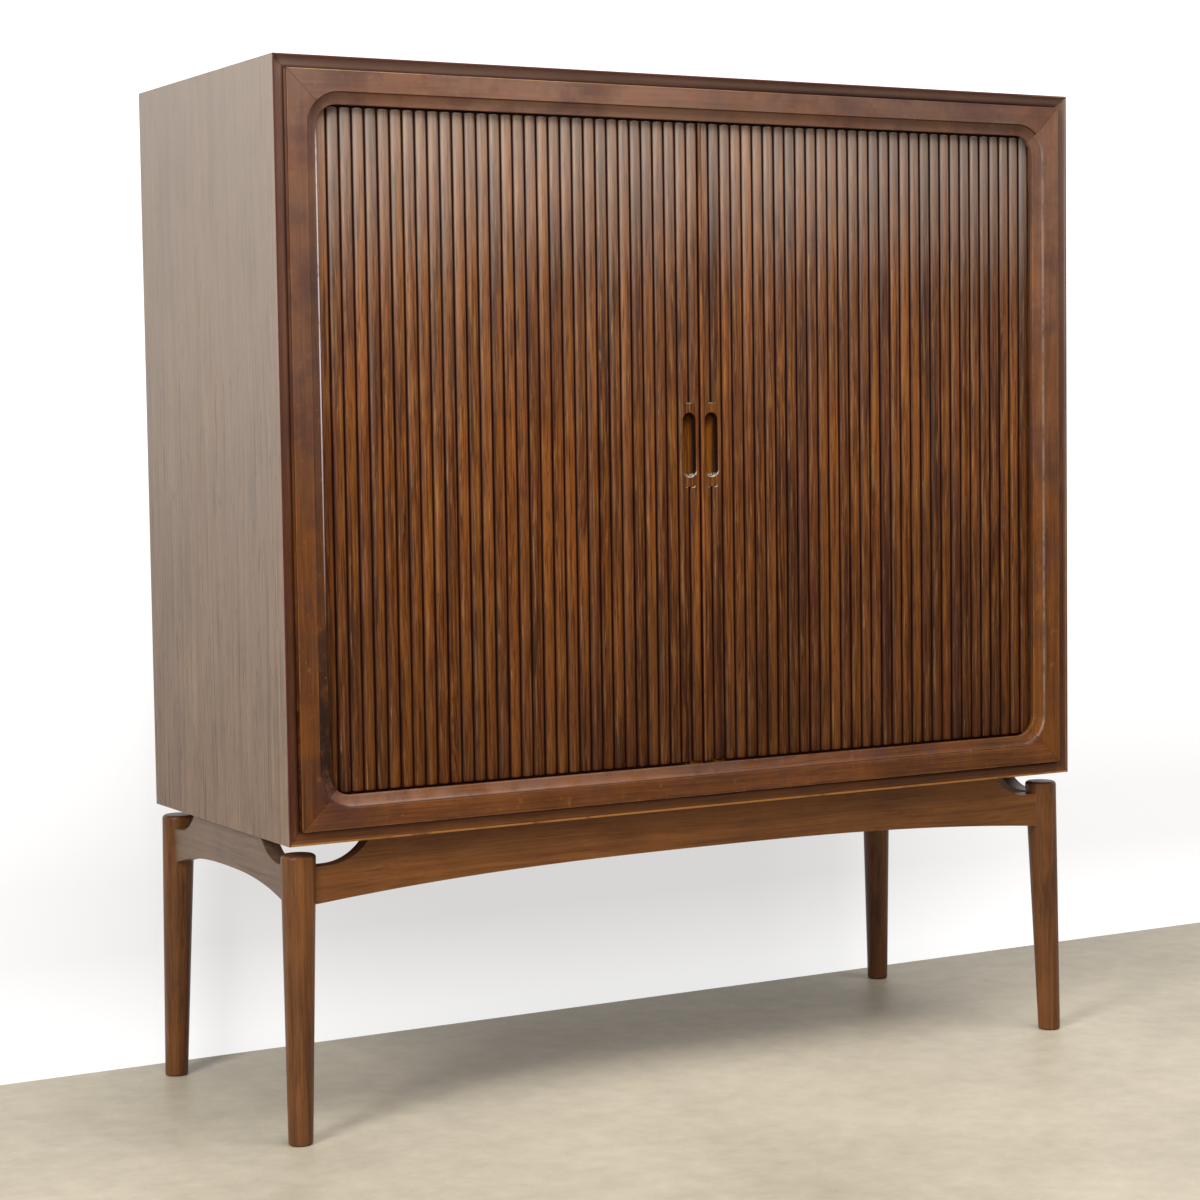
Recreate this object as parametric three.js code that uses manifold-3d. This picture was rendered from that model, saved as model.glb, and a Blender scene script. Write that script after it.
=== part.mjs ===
// Tambour door cabinet: a shallow upright case with two slatted sliding doors, on a separate stand of four round legs.
// Millimetres, +Z up, floor at z = 0, front towards -Y, origin on the floor below the middle of the case.
import * as THREE from "three";
import { mergeVertices } from "three/addons/utils/BufferGeometryUtils.js";
import Module from "manifold-3d";

const wasm = await Module();
wasm.setup();

// Clearances
const glueLine = 0.2; // between pieces that are glued or screwed together
const runningGap = 0.6; // on each side of a slat's end in its track
const overrun = 2; // how far a cut goes past the face it starts from
const weldDistance = 0.001; // closer vertices are one vertex

// Case
const caseWidth = 1180;
const caseDepth = 450;
const caseHeight = 938;
const panelThickness = 16;
const lipEdge = 2.2; // thin band round the case's front edge
const lipHollowWidth = 4.3; // hollow just inside that band
const lipHollowDepth = 5;
const lipHollowSteps = 4;
const lipFall = 6.2; // how far back the flat inside the hollow meets the front frame
const rebateDepth = 8; // step at the back that holds the back panel
const rebateWidth = 7;
const backPanelThickness = 6;

// Front frame
const frameWidth = 40;
const frameThickness = 13.5;
const frameProud = 2.5; // in front of the case's front edge
const coveWidth = 14.5;
const coveDepth = 7;
const coveSteps = 6;
const openingRadius = 28;
const openingCornerSteps = 10;

// Doors
const sectionsPerDoor = 15;
const slatsPerSection = 2;
const slatGap = 1.4; // width of the groove between two slats
const ribHeight = 4; // rounded part of a slat
const ribSteps = 5;
const webThickness = 4; // flat part of a slat with its cloth back
const slatClearance = 1.5; // between the frame's back and the slats' crests
const shoulderGap = 1.5; // from the opening's edge to the end of the rounded part
const sectionGap = 0.15; // between two sections that slide past each other
const trackDepth = 6;
const trackPlay = 0.3; // under and over the ends of the slats
const trackCornerRadius = 38.5; // at the slats' crests
const trackCornerSteps = 6;
const cornerSlats = 3; // slats that stand in each front corner with the doors closed
const stileThickness = 13;
const recessWidth = 18.5;
const recessHeight = 82;
const recessDepth = 9.5;
const recessEndSteps = 8;
const grooveStop = 53; // from the recess's middle to where the stile's centre groove starts
const beadWidth = 4.8;
const beadThickness = 6;
const beadProud = 1; // in front of the slats' crests
const beadGap = 0.3;

// Inside
const linerThickness = 8;
const linerGap = 4; // from the track's side run to a liner
const innerBackThickness = 6;
const partitionThickness = 16;
const shelfThickness = 16;
const shelfDado = 4;
const shelfSetback = 6; // behind the liners' front edges
const shelvesPerSide = 2;
const partitionGap = 3.5; // from the lead stiles' backs to the partition

// Stand
const standHeight = 367;
const legClear = 14; // from a leg's top to the case
const legTopRadius = 21.5;
const legFootRadius = 15.2;
const legTopEdge = 4; // rounding at the top
const legFootEdge = 3;
const legSides = 24;
const legTopInset = 24; // leg axis in from the case's side
const legFootInset = 16;
const legTopFront = 31; // leg axis behind the case's front edge
const legFootFront = 23;
const legTopBack = 18; // leg axis in from the case's back
const legFootBack = 8;
const apronThickness = 22;
const apronEndDepth = 75; // apron's lower edge below the case, at a leg
const apronMidDepth = 54.6; // and at its middle
const scoopDepth = 29.5; // scooped top edge below the case, at a leg
const scoopFlat = 15; // level stretch of the scoop
const scoopRadius = 66;
const scoopSteps = 10;
const archSteps = 14;
const archPower = 2.6; // how much flatter the lower edge is at its middle than beside a leg
const tenonLength = 12;
const tenonHeight = 30;
const tenonThickness = 8;
const tenonGap = 0.3;

// Places that follow from the sizes above
const halfWidth = caseWidth / 2;
const front = -caseDepth / 2;
const back = caseDepth / 2;
const caseBottom = standHeight;
const caseTop = standHeight + caseHeight;
const caseMiddle = standHeight + caseHeight / 2;
const innerHalfWidth = halfWidth - panelThickness;
const innerBottom = caseBottom + panelThickness;
const innerTop = caseTop - panelThickness;
const openingHalfWidth = innerHalfWidth - frameWidth;
const openingBottom = innerBottom + frameWidth;
const openingTop = innerTop - frameWidth;
const frameFront = front - frameProud;
const frameBack = frameFront + frameThickness;
const crestY = frameBack + slatClearance;
const webFront = crestY + ribHeight;
const webBack = webFront + webThickness;
const stileBack = crestY + stileThickness;
const slatPitch = openingHalfWidth / (slatsPerSection * (sectionsPerDoor + 1));
const sectionWidth = slatsPerSection * slatPitch;
const ribBottom = openingBottom + shoulderGap;
const ribTop = openingTop - shoulderGap;
const webBottom = innerBottom - trackDepth + trackPlay;
const webTop = innerTop + trackDepth - trackPlay;
const backPanelY = back - rebateDepth;
const backCrestY = backPanelY - slatClearance;
const linerFront = crestY + trackCornerRadius;
const innerBackY = backCrestY - trackCornerRadius - innerBackThickness;
const linerOuterX = openingHalfWidth + trackCornerRadius - ribHeight - webThickness - linerGap;
const linerInnerX = linerOuterX - linerThickness;

// Colours and finishes
function wood(color, roughness) {
  return new THREE.MeshStandardMaterial({ color, roughness, metalness: 0 });
}

const palette = {
  panel: wood("#8d8071", 0.5),
  edge: wood("#6b4b39", 0.42),
  slat: wood("#6a4a38", 0.5),
  stand: wood("#5d3d29", 0.45),
  inside: wood("#7a5a3f", 0.65),
  ply: wood("#9a7a55", 0.75),
};

// Geometry helpers
function solidOf(geometry) {
  const bare = new THREE.BufferGeometry();
  bare.setAttribute("position", geometry.getAttribute("position"));
  bare.setIndex(geometry.index);
  const welded = mergeVertices(bare, weldDistance);
  const corners = [...welded.index.array];
  const triangles = [];
  for (let i = 0; i < corners.length; i += 3) {
    const triangle = corners.slice(i, i + 3);
    if (new Set(triangle).size === 3) {
      triangles.push(...triangle);
    }
  }
  return new wasm.Manifold(
    new wasm.Mesh({
      numProp: 3,
      vertProperties: welded.attributes.position.array,
      triVerts: new Uint32Array(triangles),
    }),
  );
}

function box(x, y, z) {
  const geometry = new THREE.BoxGeometry(x[1] - x[0], y[1] - y[0], z[1] - z[0]);
  geometry.translate((x[0] + x[1]) / 2, (y[0] + y[1]) / 2, (z[0] + z[1]) / 2);
  return solidOf(geometry);
}

// A span measured from the middle, put on the left (side -1) or the right (side 1).
function sideSpan(side, near, far) {
  return side < 0 ? [-far, -near] : [near, far];
}

function upright(shape, z, steps) {
  const geometry = new THREE.ExtrudeGeometry(shape, {
    depth: z[1] - z[0],
    bevelEnabled: false,
    curveSegments: steps,
  });
  geometry.translate(0, 0, z[0]);
  return solidOf(geometry);
}

// An outline drawn in x and z, made solid between two depths.
function plate(shape, y, steps) {
  const geometry = new THREE.ExtrudeGeometry(shape, {
    depth: y[1] - y[0],
    bevelEnabled: false,
    curveSegments: steps,
  });
  geometry.rotateX(Math.PI / 2);
  geometry.translate(0, y[1], 0);
  return solidOf(geometry);
}

function polygon(points) {
  return new THREE.Shape(points.map(([x, y]) => new THREE.Vector2(x, y)));
}

// Joins rings of as many points each into one closed skin.
function skin(rings, closed) {
  const count = rings[0].length;
  const triangles = [];
  const caps = THREE.ShapeUtils.triangulateShape(closed, []);
  const last = (rings.length - 1) * count;
  for (const [a, b, c] of caps) {
    triangles.push(a, b, c, last + a, last + c, last + b);
  }
  for (let ring = 0; ring < rings.length - 1; ring++) {
    for (let i = 0; i < count; i++) {
      const a = ring * count + i;
      const b = ring * count + ((i + 1) % count);
      triangles.push(a, a + count, b, b, a + count, b + count);
    }
  }
  const geometry = new THREE.BufferGeometry().setFromPoints(rings.flat());
  geometry.setIndex(triangles);
  return solidOf(geometry);
}

const group = new THREE.Group();

function add(name, solid, material) {
  const made = solid.getMesh();
  const geometry = new THREE.BufferGeometry();
  geometry.setAttribute("position", new THREE.BufferAttribute(made.vertProperties, made.numProp));
  geometry.setIndex(new THREE.BufferAttribute(made.triVerts, 1));
  const mesh = new THREE.Mesh(geometry, material.clone());
  mesh.name = name;
  mesh.material.flatShading = true;
  group.add(mesh);
}

// Case panels: one section, mitred at both ends, for each of the four sides
function casePanel(halfLength) {
  const section = [
    [0, front],
    [0, back],
    [panelThickness - rebateWidth, back],
    [panelThickness - rebateWidth, backPanelY],
    [panelThickness, backPanelY],
    [panelThickness, front + lipFall],
  ];
  for (let i = lipHollowSteps; i >= 0; i--) {
    const angle = (Math.PI / 2) * (i / lipHollowSteps);
    section.push([
      lipEdge + lipHollowWidth * (1 - Math.cos(angle)),
      front + lipHollowDepth * Math.sin(angle),
    ]);
  }
  const end = (side) =>
    section.map(([inward, y]) => new THREE.Vector3(side * (halfLength - inward - glueLine), y, -inward));
  return skin([end(-1), end(1)], section.map(([inward, y]) => new THREE.Vector2(y, inward)));
}

function aboutY(solid, turns) {
  return solid.rotate([0, turns * 90, 0]);
}

function ringShape(inset) {
  const x = openingHalfWidth + trackCornerRadius - inset;
  const y0 = crestY + inset;
  const y1 = backCrestY - inset;
  const radius = trackCornerRadius - inset;
  const shape = new THREE.Shape();
  shape.moveTo(-x + radius, y0);
  shape.lineTo(x - radius, y0);
  shape.absarc(x - radius, y0 + radius, radius, -Math.PI / 2, 0);
  shape.lineTo(x, y1 - radius);
  shape.absarc(x - radius, y1 - radius, radius, 0, Math.PI / 2);
  shape.lineTo(-x + radius, y1);
  shape.absarc(-x + radius, y1 - radius, radius, Math.PI / 2, Math.PI);
  shape.lineTo(-x, y0 + radius);
  shape.absarc(-x + radius, y0 + radius, radius, Math.PI, 1.5 * Math.PI);
  return shape;
}

function trackRing(outerInset, innerInset, z) {
  const outer = upright(ringShape(outerInset), z, trackCornerSteps);
  const inner = upright(ringShape(innerInset), [z[0] - overrun, z[1] + overrun], trackCornerSteps);
  return outer.subtract(inner);
}

const trackOuter = ribHeight - runningGap;
const trackInner = ribHeight + webThickness + runningGap;
const lowerTrack = trackRing(trackOuter, trackInner, [innerBottom - trackDepth, innerBottom + overrun]);
const upperTrack = trackRing(trackOuter, trackInner, [innerTop - overrun, innerTop + trackDepth]);
const halfHeight = caseHeight / 2;
const longPanel = casePanel(halfWidth);
const shortPanel = casePanel(halfHeight);
const topPanel = longPanel.translate([0, 0, caseTop]);
const bottomPanel = aboutY(longPanel, 2).translate([0, 0, caseBottom]);
add("top_panel", topPanel.subtract(upperTrack), palette.panel);
add("bottom_panel", bottomPanel.subtract(lowerTrack), palette.panel);
add("left_side_panel", aboutY(shortPanel, -1).translate([-halfWidth, 0, caseMiddle]), palette.panel);
add("right_side_panel", aboutY(shortPanel, 1).translate([halfWidth, 0, caseMiddle]), palette.panel);
const backHalfWidth = innerHalfWidth + rebateWidth - glueLine;
const backBottom = innerBottom - rebateWidth + glueLine;
const backTop = innerTop + rebateWidth - glueLine;
const backPanelSpan = [backPanelY + glueLine, backPanelY + glueLine + backPanelThickness];
add("back_panel", box([-backHalfWidth, backHalfWidth], backPanelSpan, [backBottom, backTop]), palette.ply);

// Front frame: a ring with a coved, round-cornered opening, parted into four mitred members
function openingLoop(outset, y) {
  const radius = openingRadius + outset;
  const corners = [
    [openingHalfWidth, openingBottom, -1],
    [openingHalfWidth, openingTop, 0],
    [-openingHalfWidth, openingTop, 1],
    [-openingHalfWidth, openingBottom, 2],
  ];
  const loop = [];
  for (const [x, z, quarter] of corners) {
    const centreX = x - Math.sign(x) * openingRadius;
    const centreZ = z + (z < caseMiddle ? openingRadius : -openingRadius);
    for (let i = 0; i <= openingCornerSteps; i++) {
      const angle = (Math.PI / 2) * (quarter + i / openingCornerSteps);
      const dx = radius * Math.cos(angle);
      const dz = radius * Math.sin(angle);
      loop.push(new THREE.Vector3(centreX + dx, y, centreZ + dz));
    }
  }
  return loop;
}

const openingLoops = [openingLoop(coveWidth, frameFront - overrun)];
for (let i = 0; i <= coveSteps; i++) {
  const angle = (Math.PI / 2) * (i / coveSteps);
  openingLoops.push(openingLoop(coveWidth * Math.cos(angle), frameFront + coveDepth * Math.sin(angle)));
}
openingLoops.push(openingLoop(0, frameBack + overrun));
const openingOutline = openingLoops[0].map((point) => new THREE.Vector2(point.x, point.z));
const openingCutter = skin(openingLoops, openingOutline);
const frameHalfWidth = innerHalfWidth - glueLine;
const frameBottom = innerBottom + glueLine;
const frameTop = innerTop - glueLine;
const frameBlank = box([-frameHalfWidth, frameHalfWidth], [frameFront, frameBack], [frameBottom, frameTop]);
const frameRing = frameBlank.subtract(openingCutter);

// One side of the mitre: a wedge with 45 degree ends whose long edge is the member's outer edge.
function mitreWedge(halfLength) {
  const reach = frameWidth + openingRadius;
  const outline = polygon([
    [-halfLength + glueLine, 0],
    [-halfLength + glueLine + reach, -reach],
    [halfLength - glueLine - reach, -reach],
    [halfLength - glueLine, 0],
  ]);
  return plate(outline, [frameFront - overrun, frameBack + overrun], 1);
}

const longWedge = mitreWedge(innerHalfWidth);
const shortWedge = mitreWedge(halfHeight - panelThickness);
const topWedge = longWedge.translate([0, 0, innerTop]);
const bottomWedge = aboutY(longWedge, 2).translate([0, 0, innerBottom]);
const leftWedge = aboutY(shortWedge, -1).translate([-innerHalfWidth, 0, caseMiddle]);
const rightWedge = aboutY(shortWedge, 1).translate([innerHalfWidth, 0, caseMiddle]);
add("frame_top_rail", frameRing.intersect(topWedge), palette.edge);
add("frame_bottom_rail", frameRing.intersect(bottomWedge), palette.edge);
add("frame_left_stile", frameRing.intersect(leftWedge), palette.edge);
add("frame_right_stile", frameRing.intersect(rightWedge), palette.edge);

// Doors: half-round slats on a flat web, whose ends run in the tracks
function ribOutline() {
  const half = (slatPitch - slatGap) / 2;
  const shape = new THREE.Shape();
  shape.moveTo(half, webThickness / 2);
  shape.lineTo(-half, webThickness / 2);
  shape.lineTo(-half, 0);
  shape.absellipse(0, 0, half, ribHeight, Math.PI, 2 * Math.PI);
  return shape;
}

const rib = upright(ribOutline(), [ribBottom, ribTop], ribSteps).translate([0, webFront, 0]);

function slatSection() {
  const half = sectionWidth / 2 - sectionGap / 2;
  let section = box([-half, half], [webFront, webBack], [webBottom, webTop]);
  for (let i = 0; i < slatsPerSection; i++) {
    const x = (i + 0.5) * slatPitch - sectionWidth / 2;
    section = section.add(rib.translate([x, 0, 0]));
  }
  return section;
}

function recessCutter(x) {
  const radius = recessWidth / 2;
  const straight = recessHeight / 2 - radius;
  const shape = new THREE.Shape();
  shape.moveTo(x - radius, caseMiddle - straight);
  shape.absarc(x, caseMiddle - straight, radius, Math.PI, 2 * Math.PI);
  shape.lineTo(x + radius, caseMiddle + straight);
  shape.absarc(x, caseMiddle + straight, radius, 0, Math.PI);
  return plate(shape, [crestY - overrun, crestY + recessDepth], recessEndSteps);
}

function leadStile(side) {
  const middle = (side * sectionWidth) / 2;
  const span = sideSpan(side, sectionGap, sectionWidth - sectionGap / 2);
  const web = box(span, [webFront, webBack], [webBottom, webTop]);
  const board = box(span, [webFront, stileBack], [ribBottom, ribTop]);
  const padX = [middle - slatPitch / 2, middle + slatPitch / 2];
  const pad = box(padX, [crestY, webBack], [caseMiddle - grooveStop, caseMiddle + grooveStop]);
  const firstRib = rib.translate([middle - slatPitch / 2, 0, 0]);
  const secondRib = rib.translate([middle + slatPitch / 2, 0, 0]);
  return web.add(board).add(pad).add(firstRib).add(secondRib).subtract(recessCutter(middle));
}

const beadY = [crestY - beadProud, crestY - beadProud + beadThickness];
const beadX = [sectionGap, sectionGap + beadWidth];
const bead = box(beadX, beadY, [ribBottom, ribTop]);
const beadBed = box(
  [-overrun, beadX[1] + beadGap],
  [beadY[0] - overrun, beadY[1] + beadGap],
  [ribBottom - overrun, ribTop + overrun],
);
add("left_lead_stile", leadStile(-1), palette.slat);
add("right_lead_stile", leadStile(1).subtract(beadBed), palette.slat);
add("meeting_bead", bead, palette.slat);

const section = slatSection();
for (const [name, side] of [["left", -1], ["right", 1]]) {
  for (let i = 0; i < sectionsPerDoor; i++) {
    const x = side * (openingHalfWidth - (i + 0.5) * sectionWidth);
    const number = String(i + 1).padStart(2, "0");
    add(name + "_slats_" + number, section.translate([x, 0, 0]), palette.slat);
  }
}

// Slats that stand in the front corners while the doors are closed
function cornerCurtain(side) {
  const centreY = crestY + trackCornerRadius;
  const reach = sideSpan(side, openingHalfWidth + sectionGap, halfWidth);
  const quarter = box(reach, [crestY, centreY], [webBottom, webTop]);
  let curtain = trackRing(ribHeight, ribHeight + webThickness, [webBottom, webTop]).intersect(quarter);
  for (let i = 0; i < cornerSlats; i++) {
    const turn = side * 90 * ((i + 0.5) / cornerSlats);
    const atCentre = rib.translate([0, -centreY, 0]).rotate([0, 0, turn]);
    curtain = curtain.add(atCentre.translate([side * openingHalfWidth, centreY, 0]));
  }
  return curtain;
}

add("left_corner_slats", cornerCurtain(-1), palette.slat);
add("right_corner_slats", cornerCurtain(1), palette.slat);

// Liners, partition and shelves
const interiorZ = [innerBottom + glueLine, innerTop - glueLine];
const interiorBack = innerBackY - glueLine;
const shelfY = [linerFront + shelfSetback, interiorBack];
const compartmentHeight = (innerTop - innerBottom - shelvesPerSide * shelfThickness) / (shelvesPerSide + 1);

function shelfBottom(index) {
  return innerBottom + (index + 1) * compartmentHeight + index * shelfThickness;
}

function dados(x) {
  const cuts = [];
  for (let i = 0; i < shelvesPerSide; i++) {
    const z = [shelfBottom(i) - glueLine, shelfBottom(i) + shelfThickness + glueLine];
    cuts.push(box(x, [shelfY[0] - glueLine, back], z));
  }
  return cuts;
}

function cutAll(solid, cuts) {
  return cuts.reduce((left, cut) => left.subtract(cut), solid);
}

const partitionHalf = partitionThickness / 2;
const partitionDados = [
  ...dados([-partitionHalf - overrun, -partitionHalf + shelfDado]),
  ...dados([partitionHalf - shelfDado, partitionHalf + overrun]),
];
const partitionY = [stileBack + partitionGap, interiorBack];
const partition = box([-partitionHalf, partitionHalf], partitionY, interiorZ);
add("centre_partition", cutAll(partition, partitionDados), palette.inside);
const innerBackX = [-linerOuterX, linerOuterX];
const innerBackSpan = [innerBackY, innerBackY + innerBackThickness];
add("inner_back", box(innerBackX, innerBackSpan, interiorZ), palette.inside);
for (const [name, side] of [["left", -1], ["right", 1]]) {
  const liner = box(sideSpan(side, linerInnerX, linerOuterX), [linerFront, interiorBack], interiorZ);
  const linerDados = dados(sideSpan(side, linerInnerX - overrun, linerInnerX + shelfDado));
  add(name + "_liner", cutAll(liner, linerDados), palette.inside);
  const nearEnd = partitionHalf - shelfDado + glueLine;
  const farEnd = linerInnerX + shelfDado - glueLine;
  for (let i = 0; i < shelvesPerSide; i++) {
    const z = [shelfBottom(i), shelfBottom(i) + shelfThickness];
    add(name + "_shelf_" + (i + 1), box(sideSpan(side, nearEnd, farEnd), shelfY, z), palette.inside);
  }
}

// Stand
const legTop = standHeight - legClear;

// Radius of a leg between its two rounded ends, at a height over the floor.
function legRadius(z) {
  return legFootRadius + (legTopRadius - legFootRadius) * (z / legTop);
}

function leg(side, end, outset) {
  const edge = Math.SQRT1_2;
  const top = legTopRadius + outset;
  const foot = legFootRadius + outset;
  const profile = [
    [0, 0],
    [foot - legFootEdge, 0],
    [foot - legFootEdge * (1 - edge), legFootEdge * (1 - edge)],
    [foot, legFootEdge],
    [top, legTop - legTopEdge],
    [top - legTopEdge * (1 - edge), legTop - legTopEdge * (1 - edge)],
    [top - legTopEdge, legTop],
    [0, legTop],
  ];
  const turned = new THREE.LatheGeometry(profile.map(([x, y]) => new THREE.Vector2(x, y)), legSides);
  turned.rotateX(Math.PI / 2);
  const [x0, y0] = legAxis(side, end, 0);
  const [x1, y1] = legAxis(side, end, legTop);
  const lean = new THREE.Matrix4().makeShear(0, 0, 0, 0, (x1 - x0) / legTop, (y1 - y0) / legTop);
  turned.applyMatrix4(lean);
  turned.translate(x0, y0, 0);
  return solidOf(turned);
}

// Where a leg's axis is at a height; end is -1 at the front and 1 at the back.
function legAxis(side, end, z) {
  const share = z / legTop;
  const inset = legFootInset + (legTopInset - legFootInset) * share;
  const fromFront = legFootFront + (legTopFront - legFootFront) * share;
  const fromBack = legFootBack + (legTopBack - legFootBack) * share;
  return [side * (halfWidth - inset), end < 0 ? front + fromFront : back - fromBack];
}

const apronTop = standHeight - glueLine;
const tenonMiddle = apronTop - (scoopDepth + apronEndDepth) / 2;
const tenonZ = [tenonMiddle - tenonHeight / 2, tenonMiddle + tenonHeight / 2];

// Right half of an apron's outline, from the top edge round the leg's end to the middle of the
// lower edge, measured along the apron from its middle and up from its top.
function halfOutline(halfLength, shoulder) {
  const sweep = Math.acos(1 - scoopDepth / scoopRadius);
  const points = [];
  for (let i = scoopSteps; i >= 0; i--) {
    const angle = (sweep * i) / scoopSteps;
    const along = scoopFlat + scoopRadius * Math.sin(angle);
    points.push([shoulder - along, -scoopDepth + scoopRadius * (1 - Math.cos(angle))]);
  }
  points.push([halfLength, -scoopDepth]);
  points.push([halfLength, -apronEndDepth]);
  for (let i = archSteps; i >= 0; i--) {
    const share = i / archSteps;
    const drop = (apronEndDepth - apronMidDepth) * Math.pow(share, archPower);
    points.push([shoulder * share, -apronMidDepth - drop]);
  }
  return points;
}

// An apron between two leg axes, with a tenon rooted in each end and the mortises that these need.
function apron(from, to) {
  const length = Math.hypot(to[0] - from[0], to[1] - from[1]);
  const turn = (Math.atan2(to[1] - from[1], to[0] - from[0]) * 180) / Math.PI;
  const middle = [(from[0] + to[0]) / 2, (from[1] + to[1]) / 2, 0];
  const shoulder = length / 2 - legRadius(tenonMiddle);
  const right = halfOutline(length / 2, shoulder);
  const left = right.slice(0, -1).map(([x, z]) => [-x, z]);
  const outline = polygon([...right, ...left.reverse()].map(([x, z]) => [x, z + apronTop]));
  const placed = (solid) => solid.rotate([0, 0, turn]).translate(middle);
  const tenonPair = (gap) => {
    const root = shoulder - tenonLength;
    const reach = shoulder + tenonLength + gap;
    const half = tenonThickness / 2 + gap;
    const height = [tenonZ[0] - gap, tenonZ[1] + gap];
    return box([root, reach], [-half, half], height).add(box([-reach, -root], [-half, half], height));
  };
  return {
    board: placed(plate(outline, [-apronThickness / 2, apronThickness / 2], 1)),
    tenons: placed(tenonPair(0)),
    mortises: placed(tenonPair(tenonGap)),
  };
}

const legNames = [
  ["front_left_leg", -1, -1],
  ["front_right_leg", 1, -1],
  ["back_left_leg", -1, 1],
  ["back_right_leg", 1, 1],
];
const corner = (side, end) => legAxis(side, end, tenonMiddle);
const aprons = {
  front_apron: apron(corner(-1, -1), corner(1, -1)),
  back_apron: apron(corner(-1, 1), corner(1, 1)),
  left_apron: apron(corner(-1, -1), corner(-1, 1)),
  right_apron: apron(corner(1, -1), corner(1, 1)),
};
const legCutters = legNames.map(([, side, end]) => leg(side, end, tenonGap));
for (const [name, { board, tenons }] of Object.entries(aprons)) {
  add(name, cutAll(board, legCutters).add(tenons), palette.stand);
}
const allMortises = Object.values(aprons).map(({ mortises }) => mortises);
for (const [name, side, end] of legNames) {
  add(name, cutAll(leg(side, end, 0), allMortises), palette.stand);
}

export default group;
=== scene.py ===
"""A tambour door cabinet in worn, oiled brown wood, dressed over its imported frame."""

import math
import random

import bmesh
import bpy
from mathutils import Matrix, Vector


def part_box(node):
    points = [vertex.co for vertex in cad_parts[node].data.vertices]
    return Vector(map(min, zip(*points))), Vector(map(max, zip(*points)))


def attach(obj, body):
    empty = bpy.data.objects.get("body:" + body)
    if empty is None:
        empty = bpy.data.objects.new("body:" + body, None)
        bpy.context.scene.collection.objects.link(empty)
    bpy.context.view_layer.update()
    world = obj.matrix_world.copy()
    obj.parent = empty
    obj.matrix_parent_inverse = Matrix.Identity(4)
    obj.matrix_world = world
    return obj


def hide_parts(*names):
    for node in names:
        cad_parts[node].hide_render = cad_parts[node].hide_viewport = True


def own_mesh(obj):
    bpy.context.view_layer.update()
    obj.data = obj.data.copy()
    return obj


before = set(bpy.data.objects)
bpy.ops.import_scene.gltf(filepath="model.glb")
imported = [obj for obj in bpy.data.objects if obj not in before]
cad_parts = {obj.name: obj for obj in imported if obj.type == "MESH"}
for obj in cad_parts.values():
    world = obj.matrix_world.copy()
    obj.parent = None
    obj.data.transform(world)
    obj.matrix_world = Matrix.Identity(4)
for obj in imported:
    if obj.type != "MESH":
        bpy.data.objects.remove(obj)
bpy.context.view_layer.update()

# Sizes shared with the frame, in metres
CASE_HALF_WIDTH = 0.590
CASE_HALF_HEIGHT = 0.469
CASE_MIDDLE = 0.836  # its height above the floor, and the finger recesses'
OPENING_HALF_WIDTH = 0.534
OPENING_HALF_HEIGHT = 0.413
CREST = -0.2125  # front of the slats
WEB = CREST + 0.004  # front of the slats' flat part
CLOTH = WEB + 0.004  # back of the doors
STILE_BACK = CREST + 0.013
PITCH = OPENING_HALF_WIDTH / 32
SLAT_WIDTH = PITCH - 0.0014
RIB_BOTTOM = 0.4245
RIB_TOP = 1.2475
RIB_END = 0.0024
PULL_HEIGHT = CASE_MIDDLE
RECESS_HALF_WIDTH = 0.00925
RECESS_HALF_HEIGHT = 0.041
RECESS_DEPTH = 0.0095
PAD_HALF_HEIGHT = 0.053
PAD_SINK = 0.0009
SECTIONS = 15
TENON = 0.012
LEG_FOOT_RADIUS = 0.0152
LEG_HEAD_RADIUS = 0.0215
LEG_HEIGHT = 0.353


# Nodes and colours
def tint(code):
    """A colour written as six hexadecimal digits, as Blender's linear colour."""
    parts = [int(code[i : i + 2], 16) / 255 for i in (0, 2, 4)]
    return [p / 12.92 if p <= 0.04045 else ((p + 0.055) / 1.055) ** 2.4 for p in parts] + [1.0]


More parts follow.
